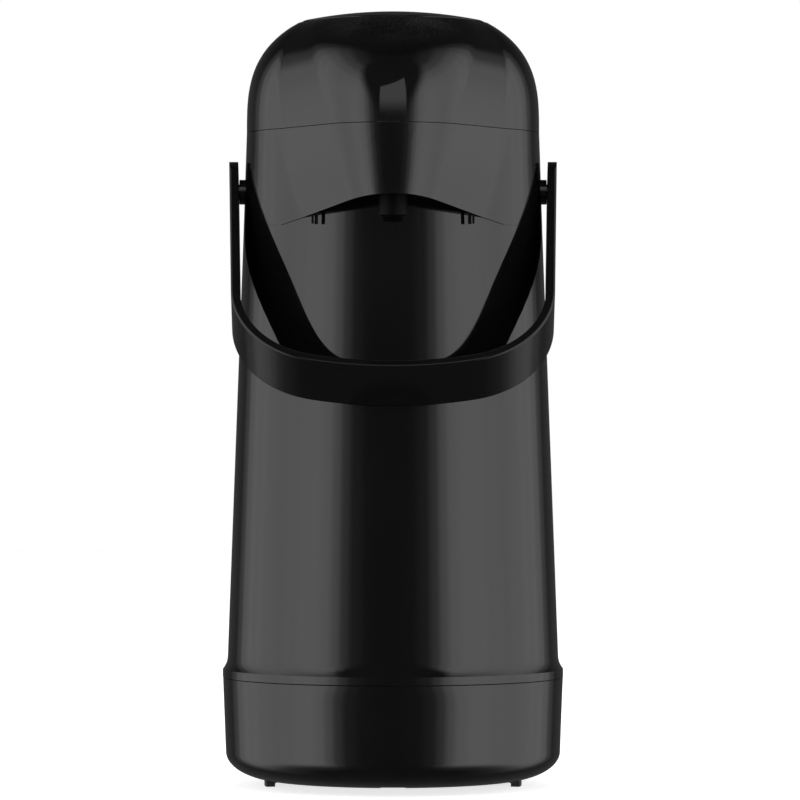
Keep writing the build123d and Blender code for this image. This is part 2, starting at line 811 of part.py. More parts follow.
def make_press_plate():
    skirt_low = liner_top_z + stroke + skirt_stop_gap
    skirt_in = plate_r - plate_skirt_wall
    inner_dome = plate_dome_r - plate_wall
    centre_z = plate_top_z - plate_dome_r
    half_r = plate_r / 2
    outer_half = centre_z + sqrt(plate_dome_r ** 2 - half_r ** 2)
    inner_half = centre_z + sqrt(inner_dome ** 2 - half_r ** 2)
    inner_edge = centre_z + sqrt(inner_dome ** 2 - skirt_in ** 2)
    outline = [
        ThreePointArc(at(0, plate_top_z), at(half_r, outer_half), at(plate_r, plate_edge_z)),
        Line(at(plate_r, plate_edge_z), at(plate_r, skirt_low)),
        Line(at(plate_r, skirt_low), at(skirt_in, skirt_low)),
        Line(at(skirt_in, skirt_low), at(skirt_in, inner_edge)),
        ThreePointArc(at(skirt_in, inner_edge), at(half_r, inner_half), at(0, plate_top_z - plate_wall)),
        Line(at(0, plate_top_z - plate_wall), at(0, plate_top_z)),
    ]
    plate = turned(*[edge.edge() for edge in outline])
    circles = plate.edges().filter_by(GeomType.CIRCLE)
    rim = circles.filter_by_position(Axis.Z, plate_edge_z - fit_gap, plate_edge_z + fit_gap)
    plate = fillet(rim, plate_edge_r)
    return Pos(0, plate_y, 0) * plate


def make_pusher():
    hub_inner = pusher_hub_r - pusher_hub_wall
    disc_top = pusher_z + pusher_disc
    inner_dome = plate_dome_r - plate_wall
    hub_top = plate_top_z - plate_dome_r + sqrt(inner_dome ** 2 - pusher_hub_r ** 2)
    pusher = turned_outline(
        (valve_stem_r + fit_gap, pusher_z),
        (pusher_r, pusher_z),
        (pusher_r, disc_top),
        (pusher_hub_r, disc_top),
        (pusher_hub_r, hub_top),
        (hub_inner, hub_top),
        (hub_inner, disc_top),
        (valve_stem_r + fit_gap, disc_top),
    )
    for turn in range(0, 360, 60):
        hole_x = pusher_hole_ring_r * cos(radians(turn))
        hole_y = pusher_hole_ring_r * sin(radians(turn))
        pusher -= drum(pusher_hole_r, pusher_z - 1, disc_top + 1, hole_x, hole_y)
    return Pos(0, plate_y, 0) * pusher


def make_air_valve():
    # a rubber flap under the pusher's holes, held by its own stem
    disc_top = pusher_z + pusher_disc
    valve = drum(valve_r, pusher_z - valve_thickness, pusher_z)
    valve += drum(valve_stem_r, pusher_z, disc_top)
    valve += drum(valve_cap_r, disc_top, disc_top + valve_cap)
    return Pos(0, plate_y, 0) * valve


def bail_loop(inset, top_s):
    # one edge of the bail seen square to its plane: two leaning arms, two corners, a shallow bottom
    lean = radians(bail_taper)
    start_x = arm_outer_x - inset / cos(lean)
    corner = bail_corner_r - inset
    bottom = bail_bottom_r - inset
    reach = bail_outer_reach - inset
    centre_s = reach - bottom
    slope = sin(lean) / cos(lean)
    base_x = start_x - slope * centre_s - corner / cos(lean)
    spread = bottom - corner
    root = sqrt((base_x * slope) ** 2 - (1 + slope ** 2) * (base_x ** 2 - spread ** 2))
    rise = (base_x * slope + root) / (1 + slope ** 2)
    corner_x = base_x - slope * rise
    corner_s = centre_s + rise
    arm_end = (corner_x + corner * cos(lean), corner_s + corner * sin(lean))
    bottom_end = (corner_x * bottom / spread, centre_s + rise * bottom / spread)
    turn = (atan2(rise, corner_x) + lean) / 2
    corner_mid = (corner_x + corner * cos(turn), corner_s + corner * sin(turn))
    top_x = start_x - slope * top_s

    def spot(point, side):
        return (side * point[0], 0, -point[1])

    top_end = (top_x, top_s)
    edges = [
        ThreePointArc(spot(bottom_end, 1), (0, 0, -reach), spot(bottom_end, -1)),
        Line(spot(top_end, 1), spot(top_end, -1)),
    ]
    for side in (1, -1):
        edges.append(ThreePointArc(spot(bottom_end, side), spot(corner_mid, side), spot(arm_end, side)))
        edges.append(Line(spot(arm_end, side), spot(top_end, side)))
    return make_face([edge.edge() for edge in edges])


def bail_rest_angle():
    # how far the bail leans forward from straight down when its bar rests on the jacket
    slope = jacket_slope()
    half = bail_width / 2
    along = bail_inner_reach - slope * half
    across = half + slope * bail_inner_reach
    target = jacket_r(pivot_z) + bail_rest_gap
    return degrees(asin(target / hypot(along, across)) + atan2(across, along))


def make_bail():
    half = bail_width / 2
    top_s = -half - arm_end_shift - 1
    outer = extrude(bail_loop(0, top_s), amount=half, both=True)
    inner = extrude(bail_loop(bail_thickness, top_s - 1), amount=half + 1, both=True)
    strap = outer - inner
    long_edges = strap.edges().group_by(Axis.Y)
    strap = fillet(long_edges[0] + long_edges[-1], bail_edge_r)
    side_shape = bar_x(half, -arm_outer_x - 1, arm_outer_x + 1, 0, arm_end_shift)
    low_end = -bail_outer_reach - 1
    side_shape += block(-arm_outer_x - 1, arm_outer_x + 1, -half, half, low_end, arm_end_shift)
    strap &= side_shape
    strap -= bar_x(pivot_pin_r + pin_clearance, -arm_outer_x - 1, arm_outer_x + 1, 0, 0)
    sink = pivot_head + fit_gap
    strap -= bar_x(pivot_head_r + fit_gap, arm_outer_x - sink, arm_outer_x + 1, 0, 0)
    strap -= bar_x(pivot_head_r + fit_gap, -arm_outer_x - 1, -arm_outer_x + sink, 0, 0)
    return Pos(0, 0, pivot_z) * Rot(-bail_rest_angle(), 0, 0) * strap


def make_pivot_pin(side):
    head_out = arm_outer_x - fit_gap / 2
    head_in = head_out - pivot_head
    inside = head_seam_r - head_draft - collar_wall - pivot_pin_inside
    pin = bar_x(pivot_pin_r, inside, head_in, 0, pivot_z)
    pin += bar_x(pivot_head_r, head_in, head_out, 0, pivot_z)
    slot = Pos(head_out, 0, pivot_z) * Box(2 * pivot_slot_depth, pivot_slot_width, pivot_slot_length)
    pin -= slot
    return pin if side > 0 else mirror(pin, about=Plane.YZ)


parts = {
    "base_cup": make_base_cup(),
    "foot_ring": make_foot_ring(),
    "refill_cushion": make_refill_cushion(),
    "body_jacket": make_jacket(),
    "outer_flask": make_outer_flask(),
    "inner_flask": make_inner_flask(),
    "flask_spacers": make_flask_spacers(),
    "neck_seal": make_neck_seal(),
    "collar_shell": make_collar(),
    "spout_cover": make_spout_cover(),
    "spout_nozzle": make_nozzle(),
    "spout_tube": make_spout_tube(),
    "siphon_head": make_siphon_head(),
    "siphon_seal": make_siphon_seal(),
    "port_seal": make_port_seal(),
    "dip_tube": make_dip_tube(),
    "check_ball": make_check_ball(),
    "hinge_pin": make_hinge_pin(),
    "pivot_pin_right": make_pivot_pin(1),
    "pivot_pin_left": make_pivot_pin(-1),
    "lid_shell": make_lid_shell(),
    "lid_liner": make_lid_liner(),
    "lid_screws": make_lid_screws(),
    "lid_catch": make_lid_catch(),
    "bellows_base": make_bellows_base(),
    "bellows": make_bellows(),
    "press_plate": make_press_plate(),
    "plate_pusher": make_pusher(),
    "air_valve": make_air_valve(),
    "handle_bail": make_bail(),
}

os.makedirs("parts", exist_ok=True)
for name, shape in parts.items():
    export_step(shape, f"parts/{name}.step")
print("bail leans forward by", round(bail_rest_angle(), 3), "degrees, pivot at z", round(pivot_z, 3))
print("hinge at y", round(hinge_y, 3), "z", round(lid_seam_z, 3), "top at z", round(plate_top_z, 3))
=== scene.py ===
import json
from math import cos, pi, radians, sin, sqrt

import bmesh
import bpy
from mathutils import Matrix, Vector


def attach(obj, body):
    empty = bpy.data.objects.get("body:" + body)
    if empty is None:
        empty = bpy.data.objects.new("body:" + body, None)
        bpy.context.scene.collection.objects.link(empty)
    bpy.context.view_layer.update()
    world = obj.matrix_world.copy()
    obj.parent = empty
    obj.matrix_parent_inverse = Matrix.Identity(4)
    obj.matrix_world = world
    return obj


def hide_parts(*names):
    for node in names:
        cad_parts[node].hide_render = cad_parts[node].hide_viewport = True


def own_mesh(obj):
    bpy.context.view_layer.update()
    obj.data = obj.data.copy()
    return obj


# Looks of a one-litre pump airpot: polished black plastic shells over pale inner parts, on a plain
# pale floor between two tall side lights. Metres, +Z up, the beak points to -Y.

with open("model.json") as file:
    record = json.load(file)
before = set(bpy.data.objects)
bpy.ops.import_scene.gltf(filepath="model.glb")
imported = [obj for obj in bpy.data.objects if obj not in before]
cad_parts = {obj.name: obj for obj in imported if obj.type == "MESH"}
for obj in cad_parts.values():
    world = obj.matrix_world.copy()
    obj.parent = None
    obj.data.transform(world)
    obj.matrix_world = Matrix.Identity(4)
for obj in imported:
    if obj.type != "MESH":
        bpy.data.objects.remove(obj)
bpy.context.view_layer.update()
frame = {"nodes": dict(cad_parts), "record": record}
bpy.context.scene.view_settings.view_transform = "Standard"

# Camera, from the photograph's framing: 0.388 mm to a pixel at the vessel's axis
CAMERA_DISTANCE = 1.94
CAMERA_HEIGHT = 0.1493
CAMERA_LENS = 225.0
AXIS_LEFT_OF_CENTRE = 7.0 / 800.0

# The tent of light round the pot. Each side light has a strength against degrees round from the
# camera, and a share of it that is left against degrees up from straight down
TENT_RADIUS = 5.0
TENT_CENTRE = 0.15
TENT_RINGS = 24
TENT_STEPS = 48
HALF_TURN = 180.0
SIDE_LIGHT = (
    (0, 0.0),
    (14, 0.02),
    (25, 0.13),
    (32, 0.50),
    (38, 1.20),
    (45, 1.80),
    (55, 2.00),
    (65, 1.94),
    (75, 1.74),
    (90, 1.50),
    (105, 1.30),
    (117, 1.00),
    (127, 0.60),
    (134, 0.18),
    (142, 0.01),
    (180, 0.0),
)
SIDE_LIGHT_FULL = 2.0
SIDE_LIGHT_HEIGHT = (
    (0, 0.0),
    (30, 0.0),
    (36, 0.04),
    (44, 0.10),
    (50, 0.22),
    (56, 0.45),
    (61, 0.70),
    (67, 0.92),
    (74, 0.98),
    (90, 1.0),
    (105, 0.98),
    (115, 0.95),
    (128, 0.86),
    (139, 0.64),
    (149, 0.34),
    (159, 0.09),
    (168, 0.0),
    (180, 0.0),
)

# Their inner edges lean outwards by SPREAD degrees to a degree up, and fade over EDGE degrees. Near
# the front they lie ASIDE degrees to the left, and CUP_ASIDE degrees further out in what the base
# cup mirrors, from a little under its rim. Behind, the lights reach LOW_REACH degrees further down
SIDE_LIGHT_SPREAD = 0.83
SIDE_LIGHT_EDGE = 22.0
SIDE_LIGHT_ASIDE = 2.4
SIDE_LIGHT_CUP_ASIDE = 3.6
SIDE_LIGHT_ASIDE_FADE = (80.0, 45.0)
SIDE_LIGHT_CUP_OVER = 0.002
SIDE_LIGHT_CUP_UNDER = 0.006
SIDE_LIGHT_LOW_REACH = 7.0
SIDE_LIGHT_LOW_REACH_FADE = (60.0, 130.0)

# How dark the rest of the tent is, and how much darker behind and over the pot, in spans of degrees
TENT_DARK = 0.065
TENT_BACK_DARK = 0.012
TENT_BACK_ROUND = (85.0, 135.0)
TENT_BACK_UP = (5.0, 30.0)
TENT_TOP_UP = (50.0, 85.0)
TENT_TOP_SHARE = 0.45

# A smaller light above the camera, with a slanted top edge. FLAG keeps it off what lies lower
FRONT_LIGHT_HALF = 21.5
FRONT_LIGHT_TOP = 50.0
FRONT_LIGHT_SLANT = 0.33
FRONT_LIGHT_EDGE = 2.0
FRONT_LIGHT_FADE = (4.0, 30.0)
FRONT_LIGHT_STRENGTH = 0.95
FRONT_LIGHT_FLAG = (0.10, 0.16)

# The plain light of the room, the floor and the lamp overhead
ROOM_LIGHT = 0.12
FLOOR_SIZE = 6.0
FLOOR_PAPER = 0.8
FLOOR_GLOW = 0.76
TOP_LIGHT_POWER = 9.0
TOP_LIGHT_SIZE = 1.6
TOP_LIGHT_HEIGHT = 1.5

# Node helpers


def join(tree, socket, source):
    if isinstance(source, (int, float)):
        socket.default_value = source
    elif isinstance(source, tuple):
        socket.default_value = source if len(source) == 4 else source + (1.0,)
    else:
        tree.links.new(source, socket)


def maths(tree, operation, *inputs, clamp=False):
    # a Math node whose inputs are sockets or numbers
    node = tree.nodes.new("ShaderNodeMath")
    node.operation = operation
    node.use_clamp = clamp
    for socket, source in zip(node.inputs, inputs):
        join(tree, socket, source)
    return node.outputs[0]


def times(tree, product, *others):
    for other in others:
        product = maths(tree, "MULTIPLY", product, other)
    return product


def ramp(tree, source, low, high, bottom=0.0, top=1.0):
    # bottom at low, top at high, smooth between, and falling where low is the larger
    node = tree.nodes.new("ShaderNodeMapRange")
    node.interpolation_type = "SMOOTHSTEP"
    join(tree, node.inputs["Value"], source)
    join(tree, node.inputs["From Min"], low)
    join(tree, node.inputs["From Max"], high)
    join(tree, node.inputs["To Min"], bottom)
    join(tree, node.inputs["To Max"], top)
    return node.outputs["Result"]


def blend_colours(tree, share, first, second):
    node = tree.nodes.new("ShaderNodeMix")
    node.data_type = "RGBA"
    join(tree, node.inputs["Factor"], share)
    join(tree, node.inputs["A"], first)
    join(tree, node.inputs["B"], second)
    return node.outputs["Result"]


def noise(tree, place, scale, detail=3.0, roughness=0.5, stretch=None):
    if stretch is not None:
        mapping = tree.nodes.new("ShaderNodeMapping")
        mapping.inputs["Scale"].default_value = stretch
        tree.links.new(place, mapping.inputs["Vector"])
        place = mapping.outputs["Vector"]
    node = tree.nodes.new("ShaderNodeTexNoise")
    node.inputs["Detail"].default_value = detail
    node.inputs["Roughness"].default_value = roughness
    join(tree, node.inputs["Scale"], scale)
    tree.links.new(place, node.inputs["Vector"])
    return node.outputs["Fac"]


def start_group(name, inputs, outputs):
    # an empty shader node group: inputs are (name, default), outputs are names
    tree = bpy.data.node_groups.new(name, "ShaderNodeTree")
    for label, default in inputs:
        socket = tree.interface.new_socket(label, in_out="INPUT", socket_type="NodeSocketFloat")
        socket.default_value = default
    for label in outputs:
        tree.interface.new_socket(label, in_out="OUTPUT", socket_type="NodeSocketFloat")
    return tree, tree.nodes.new("NodeGroupInput").outputs, tree.nodes.new("NodeGroupOutput").inputs


def use_group(tree, group, **values):
    node = tree.nodes.new("ShaderNodeGroup")
    node.node_tree = group
    for label, value in values.items():
        join(tree, node.inputs[label.replace("_", " ")], value)
    return node.outputs


def object_place(tree):
    return tree.nodes.new("ShaderNodeTexCoord").outputs["Object"]


# Effects that several finishes share


def make_edge_wear():
    # 1 on rubbed outer edges, broken up by a patchy noise
    tree, given, result = start_group(
        "edge_wear", [("Width", 0.0006), ("Amount", 1.0), ("Patch Scale", 160.0)], ["Mask"]
    )
    bevel = tree.nodes.new("ShaderNodeBevel")
    bevel.samples = 4
    tree.links.new(given["Width"], bevel.inputs["Radius"])
    surface = tree.nodes.new("ShaderNodeNewGeometry")
    product = tree.nodes.new("ShaderNodeVectorMath")
    product.operation = "DOT_PRODUCT"
    tree.links.new(bevel.outputs["Normal"], product.inputs[0])
    tree.links.new(surface.outputs["Normal"], product.inputs[1])
    bend = maths(tree, "SUBTRACT", 1.0, product.outputs["Value"])
    edge = ramp(tree, bend, 0.02, 0.2)
    patches = ramp(tree, noise(tree, object_place(tree), given["Patch Scale"]), 0.42, 0.62)
    worn = times(tree, edge, patches)
    tree.links.new(maths(tree, "MULTIPLY", worn, given["Amount"], clamp=True), result["Mask"])
    return tree


def make_moulded_grain():
    # the slight waviness of a moulded face and the fine grain on it
    inputs = [("Grain Scale", 2800.0), ("Wave Scale", 60.0), ("Grain Share", 0.5)]
    tree, given, result = start_group("moulded_grain", inputs, ["Height", "Tone"])
    place = object_place(tree)
    grain = noise(tree, place, given["Grain Scale"], detail=2.0)
    wave = noise(tree, place, given["Wave Scale"], detail=1.0)
    fine = times(tree, grain, given["Grain Share"])
    height = maths(tree, "ADD", wave, fine)
    tree.links.new(height, result["Height"])
    tree.links.new(wave, result["Tone"])
    return tree


def make_handling_marks():
    # smudges from fingers and hair-fine scratches from wiping, both as shares from 0 to 1
    tree, given, result = start_group(
        "handling_marks", [("Smudge Scale", 34.0), ("Scratch Scale", 900.0)], ["Smudge", "Scratch"]
    )
    place = object_place(tree)
    smudge = ramp(tree, noise(tree, place, given["Smudge Scale"], detail=5.0, roughness=0.6), 0.48, 0.72)
    across = noise(tree, place, given["Scratch Scale"], detail=1.0, stretch=(1.0, 1.0, 0.02))
    along = noise(tree, place, given["Scratch Scale"], detail=1.0, stretch=(0.03, 0.03, 1.0))
    lines = maths(tree, "MAXIMUM", ramp(tree, across, 0.70, 0.76), ramp(tree, along, 0.70, 0.76))
    spread = ramp(tree, noise(tree, place, 22.0), 0.45, 0.65)
    tree.links.new(smudge, result["Smudge"])
    tree.links.new(times(tree, lines, spread), result["Scratch"])
    return tree


def make_settled_dust():
    # a little dust on faces that look up
    tree, given, result = start_group("settled_dust", [("Amount", 0.3), ("Speck Scale", 1400.0)], ["Mask"])
    surface = tree.nodes.new("ShaderNodeNewGeometry")
    split = tree.nodes.new("ShaderNodeSeparateXYZ")
    tree.links.new(surface.outputs["Normal"], split.inputs[0])
    level = ramp(tree, split.outputs["Z"], 0.75, 0.98)
    place = object_place(tree)
    specks = ramp(tree, noise(tree, place, given["Speck Scale"], detail=1.0), 0.66, 0.74)
    film = ramp(tree, noise(tree, place, 45.0), 0.35, 0.75, 0.0, 0.25)
    both = maths(tree, "ADD", specks, film)
    share = times(tree, both, level)
    tree.links.new(maths(tree, "MULTIPLY", share, given["Amount"], clamp=True), result["Mask"])
    return tree


EDGE_WEAR = make_edge_wear()
MOULDED_GRAIN = make_moulded_grain()
HANDLING_MARKS = make_handling_marks()
SETTLED_DUST = make_settled_dust()


# Finishes


def new_material(name, kind="ShaderNodeBsdfPrincipled"):
    material = bpy.data.materials.new(name)
    material.use_nodes = True
    tree = material.node_tree
    tree.nodes.clear()
    shader = tree.nodes.new(kind)
    output = tree.nodes.new("ShaderNodeOutputMaterial")
    tree.links.new(shader.outputs[0], output.inputs["Surface"])
    return material, tree, shader


def add_bump(tree, shader, height, strength, distance):
    bump = tree.nodes.new("ShaderNodeBump")
    bump.inputs["Strength"].default_value = strength
    bump.inputs["Distance"].default_value = distance
    tree.links.new(height, bump.inputs["Height"])
    tree.links.new(bump.outputs["Normal"], shader.inputs["Normal"])


def polished_plastic(name, colour, roughness, dust=0.15, rub=0.35, sheen=0.5):
    # hard gloss moulding: nearly flawless, with rubbed edges, faint smudges and wiping scratches
    material, tree, shader = new_material(name)
    wear = use_group(tree, EDGE_WEAR, Width=0.0005, Amount=rub, Patch_Scale=140.0)["Mask"]
    grain = use_group(tree, MOULDED_GRAIN, Grain_Scale=2200.0, Wave_Scale=24.0, Grain_Share=0.01)
    marks = use_group(tree, HANDLING_MARKS, Smudge_Scale=30.0, Scratch_Scale=700.0)
    dusted = use_group(tree, SETTLED_DUST, Amount=dust, Speck_Scale=1300.0)["Mask"]
    rubbed = tuple(4.0 * part + 0.012 for part in colour)
    dull = tuple(0.8 * part for part in colour)
    shade = blend_colours(tree, ramp(tree, grain["Tone"], 0.3, 0.7), colour, dull)
    shade = blend_colours(tree, wear, shade, rubbed)
    shade = blend_colours(tree, dusted, shade, (0.35, 0.34, 0.32))
    join(tree, shader.inputs["Base Color"], shade)
    shader.inputs["Specular IOR Level"].default_value = sheen
    soft = maths(tree, "MULTIPLY_ADD", marks["Smudge"], 0.05, roughness)
    soft = maths(tree, "MULTIPLY_ADD", marks["Scratch"], 0.10, soft)
    soft = maths(tree, "MULTIPLY_ADD", wear, 0.25, soft)
    soft = maths(tree, "MULTIPLY_ADD", dusted, 0.5, soft)
    join(tree, shader.inputs["Roughness"], soft)
    add_bump(tree, shader, grain["Height"], 0.06, 0.0002)
    return material


def matt_plastic(name, colour, roughness, grain_strength=0.35, dust=0.1, sheen=0.5):
    # spark-eroded or plain inner moulding
    material, tree, shader = new_material(name)
    wear = use_group(tree, EDGE_WEAR, Width=0.0006, Amount=0.5, Patch_Scale=200.0)["Mask"]
    grain = use_group(tree, MOULDED_GRAIN, Grain_Scale=1900.0, Wave_Scale=70.0, Grain_Share=0.6)
    marks = use_group(tree, HANDLING_MARKS, Smudge_Scale=26.0, Scratch_Scale=500.0)
    dusted = use_group(tree, SETTLED_DUST, Amount=dust, Speck_Scale=1100.0)["Mask"]
    dull = tuple(0.9 * part for part in colour)
    shade = blend_colours(tree, ramp(tree, grain["Tone"], 0.3, 0.7), colour, dull)
    shade = blend_colours(tree, wear, shade, tuple(min(1.0, 1.15 * part + 0.01) for part in colour))
    shade = blend_colours(tree, dusted, shade, (0.45, 0.43, 0.40))
    join(tree, shader.inputs["Base Color"], shade)
    shader.inputs["Specular IOR Level"].default_value = sheen
    soft = maths(tree, "MULTIPLY_ADD", marks["Smudge"], -0.08, roughness)
    soft = maths(tree, "MULTIPLY_ADD", marks["Scratch"], -0.10, soft)
    join(tree, shader.inputs["Roughness"], soft)
    add_bump(tree, shader, grain["Height"], grain_strength, 0.00012)
    return material


def soft_rubber(name, colour):
    # dull and a little bloomed
    material, tree, shader = new_material(name)
    grain = use_group(tree, MOULDED_GRAIN, Grain_Scale=1500.0, Wave_Scale=120.0, Grain_Share=0.8)
    marks = use_group(tree, HANDLING_MARKS, Smudge_Scale=60.0, Scratch_Scale=400.0)
    dusted = use_group(tree, SETTLED_DUST, Amount=0.35, Speck_Scale=900.0)["Mask"]
    bloom = tuple(min(1.0, 1.25 * part + 0.03) for part in colour)
    shade = blend_colours(tree, marks["Smudge"], colour, bloom)
    shade = blend_colours(tree, dusted, shade, (0.45, 0.43, 0.40))
    join(tree, shader.inputs["Base Color"], shade)
    join(tree, shader.inputs["Roughness"], ramp(tree, grain["Tone"], 0.3, 0.7, 0.55, 0.72))
    add_bump(tree, shader, grain["Height"], 0.4, 0.0002)
    return material


def silvered_glass(name):
    # the refill's wall with its silver behind: a mirror with faint runs and clouded spots
    material, tree, shader = new_material(name)
    place = object_place(tree)
    marks = use_group(tree, HANDLING_MARKS, Smudge_Scale=40.0, Scratch_Scale=300.0)
    runs = ramp(tree, noise(tree, place, 90.0, detail=4.0, stretch=(1.0, 1.0, 0.15)), 0.45, 0.75)
    shade = blend_colours(tree, runs, (0.86, 0.87, 0.88), (0.72, 0.70, 0.66))
    join(tree, shader.inputs["Base Color"], shade)
    join(tree, shader.inputs["Roughness"], maths(tree, "MULTIPLY_ADD", marks["Smudge"], 0.12, 0.05))
    shader.inputs["Metallic"].default_value = 1.0
    shader.inputs["Coat Weight"].default_value = 1.0
    shader.inputs["Coat Roughness"].default_value = 0.02
    add_bump(tree, shader, noise(tree, place, 35.0, detail=1.0), 0.15, 0.0004)
    return material


def brushed_steel(name):
    # drawn rod with fine lines along it
    material, tree, shader = new_material(name)
    place = object_place(tree)
    wear = use_group(tree, EDGE_WEAR, Width=0.0003, Amount=0.6, Patch_Scale=400.0)["Mask"]
    marks = use_group(tree, HANDLING_MARKS, Smudge_Scale=80.0, Scratch_Scale=1500.0)
    brushing = noise(tree, place, 3000.0, detail=2.0, stretch=(0.02, 1.0, 1.0))
    shade = blend_colours(tree, marks["Smudge"], (0.62, 0.62, 0.63), (0.50, 0.49, 0.48))
    shade = blend_colours(tree, wear, shade, (0.80, 0.80, 0.80))
    join(tree, shader.inputs["Base Color"], shade)
    join(tree, shader.inputs["Roughness"], ramp(tree, brushing, 0.3, 0.7, 0.22, 0.42))
    shader.inputs["Metallic"].default_value = 1.0
    add_bump(tree, shader, brushing, 0.25, 0.00005)
    return material


FINISHES = {
    "jacket_black": polished_plastic("jacket_black_gloss", (0.0040, 0.0040, 0.0043), 0.045),
    "base_black": polished_plastic("base_black_gloss", (0.0042, 0.0042, 0.0044), 0.05),
    "head_black": polished_plastic("head_black_gloss", (0.0040, 0.0040, 0.0043), 0.045),
    "plate_black": polished_plastic("plate_black_gloss", (0.0045, 0.0045, 0.0047), 0.06, dust=0.08),
    "bail_black": polished_plastic("bail_black_gloss", (0.0045, 0.0045, 0.0047), 0.09, rub=0.5, sheen=0.32),
    # matt black plastic, its colour darkened below the other blacks and its sheen cut low: painted shade
    # for the shadow under the beak
    "spout_black": matt_plastic("spout_black_matt_painted_shade", (0.0022, 0.0022, 0.0024), 0.55, dust=0.0, sheen=0.08),
    "inner_white": matt_plastic("inner_white_matt", (0.78, 0.78, 0.76), 0.38, grain_strength=0.2),
    "siphon_grey": matt_plastic("siphon_grey_matt", (0.42, 0.43, 0.44), 0.40, grain_strength=0.25),
    "silvered_glass": silvered_glass("refill_silvered_glass"),
    "seal_rubber": soft_rubber("seal_pale_rubber", (0.72, 0.72, 0.70)),
    "foot_rubber": soft_rubber("foot_black_rubber", (0.05, 0.05, 0.05)),
    "cushion_rubber": soft_rubber("cushion_grey_rubber", (0.33, 0.33, 0.32)),
    "pin_steel": brushed_steel("pin_brushed_steel"),
}


# Stage


def make_camera():
    data = bpy.data.cameras.new("Camera")
    data.lens = CAMERA_LENS
    data.sensor_width = 36.0
    data.shift_x = AXIS_LEFT_OF_CENTRE
    camera = bpy.data.objects.new("Camera", data)
    camera.location = (0.0, -CAMERA_DISTANCE, CAMERA_HEIGHT)
    camera.rotation_euler = (pi / 2, 0.0, 0.0)
    bpy.context.scene.collection.objects.link(camera)
    bpy.context.scene.camera = camera


def seen_directly(tree):
    # 1 for camera, mirror and glass rays, 0 for the light that falls on the pot
    path = tree.nodes.new("ShaderNodeLightPath").outputs
    direct = maths(tree, "MAXIMUM", path["Is Camera Ray"], path["Is Glossy Ray"])
    return maths(tree, "MAXIMUM", direct, path["Is Transmission Ray"])


def make_world():
    world = bpy.data.worlds.new("Room")
    bpy.context.scene.world = world
    world.use_nodes = True
    tree = world.node_tree
    tree.nodes.clear()
    background = tree.nodes.new("ShaderNodeBackground")
    dim = (ROOM_LIGHT, ROOM_LIGHT, ROOM_LIGHT)
    join(tree, background.inputs["Color"], blend_colours(tree, seen_directly(tree), dim, (1.0, 1.0, 1.0)))
    output = tree.nodes.new("ShaderNodeOutputWorld")
    tree.links.new(background.outputs[0], output.inputs["Surface"])


def link_piece(name, points, faces):
    mesh = bpy.data.meshes.new(name)
    mesh.from_pydata(points, [], faces)
    piece = bpy.data.objects.new(name, mesh)
    bpy.context.scene.collection.objects.link(piece)
    return piece


def make_floor():
    half = FLOOR_SIZE / 2
    corners = [(-half, -half, 0), (half, -half, 0), (half, half, 0), (-half, half, 0)]
    floor = link_piece("floor", corners, [(0, 1, 2, 3)])
    material, tree, paper = new_material("pale_floor")
    paper.inputs["Base Color"].default_value = (FLOOR_PAPER, FLOOR_PAPER, FLOOR_PAPER, 1)
    paper.inputs["Roughness"].default_value = 0.9
    paper.inputs["Specular IOR Level"].default_value = 0.0
    paper.inputs["Emission Color"].default_value = (1, 1, 1, 1)
    camera_ray = tree.nodes.new("ShaderNodeLightPath").outputs["Is Camera Ray"]
    join(tree, paper.inputs["Emission Strength"], times(tree, camera_ray, FLOOR_GLOW))
    floor.data.materials.append(material)
    floor.visible_glossy = False


def strength_curve(tree, angle, points, full):
    # reads (degrees, strength) pairs as a smooth curve over half a turn
    curve = tree.nodes.new("ShaderNodeValToRGB")
    curve.color_ramp.interpolation = "EASE"
    stops = curve.color_ramp.elements
    stops.remove(stops[1])
    for number, (degrees_at, strength) in enumerate(points):
        stop = stops[0] if number == 0 else stops.new(degrees_at / HALF_TURN)
        stop.position = degrees_at / HALF_TURN
        share = strength / full
        stop.color = (share, share, share, 1)
    join(tree, curve.inputs["Fac"], maths(tree, "DIVIDE", angle, HALF_TURN))
    return times(tree, curve.outputs["Color"], full)


def tent_directions(tree):
    # degrees round from the camera, degrees up, and the height at which the mirrored ray set out
    surface = tree.nodes.new("ShaderNodeNewGeometry").outputs
    place = tree.nodes.new("ShaderNodeSeparateXYZ")
    tree.links.new(surface["Position"], place.inputs[0])
    across = place.outputs["X"]
    forward = times(tree, place.outputs["Y"], -1.0)
    rise = maths(tree, "SUBTRACT", place.outputs["Z"], TENT_CENTRE)
    squares = maths(tree, "ADD", maths(tree, "POWER", across, 2.0), maths(tree, "POWER", forward, 2.0))
    turn = times(tree, maths(tree, "ARCTAN2", across, forward), HALF_TURN / pi)
    up = times(tree, maths(tree, "ARCTAN2", rise, maths(tree, "SQRT", squares)), HALF_TURN / pi)
    way = tree.nodes.new("ShaderNodeSeparateXYZ")
    tree.links.new(surface["Incoming"], way.inputs[0])
    length = tree.nodes.new("ShaderNodeLightPath").outputs["Ray Length"]
    start_z = maths(tree, "MULTIPLY_ADD", way.outputs["Z"], length, place.outputs["Z"])
    return turn, up, start_z


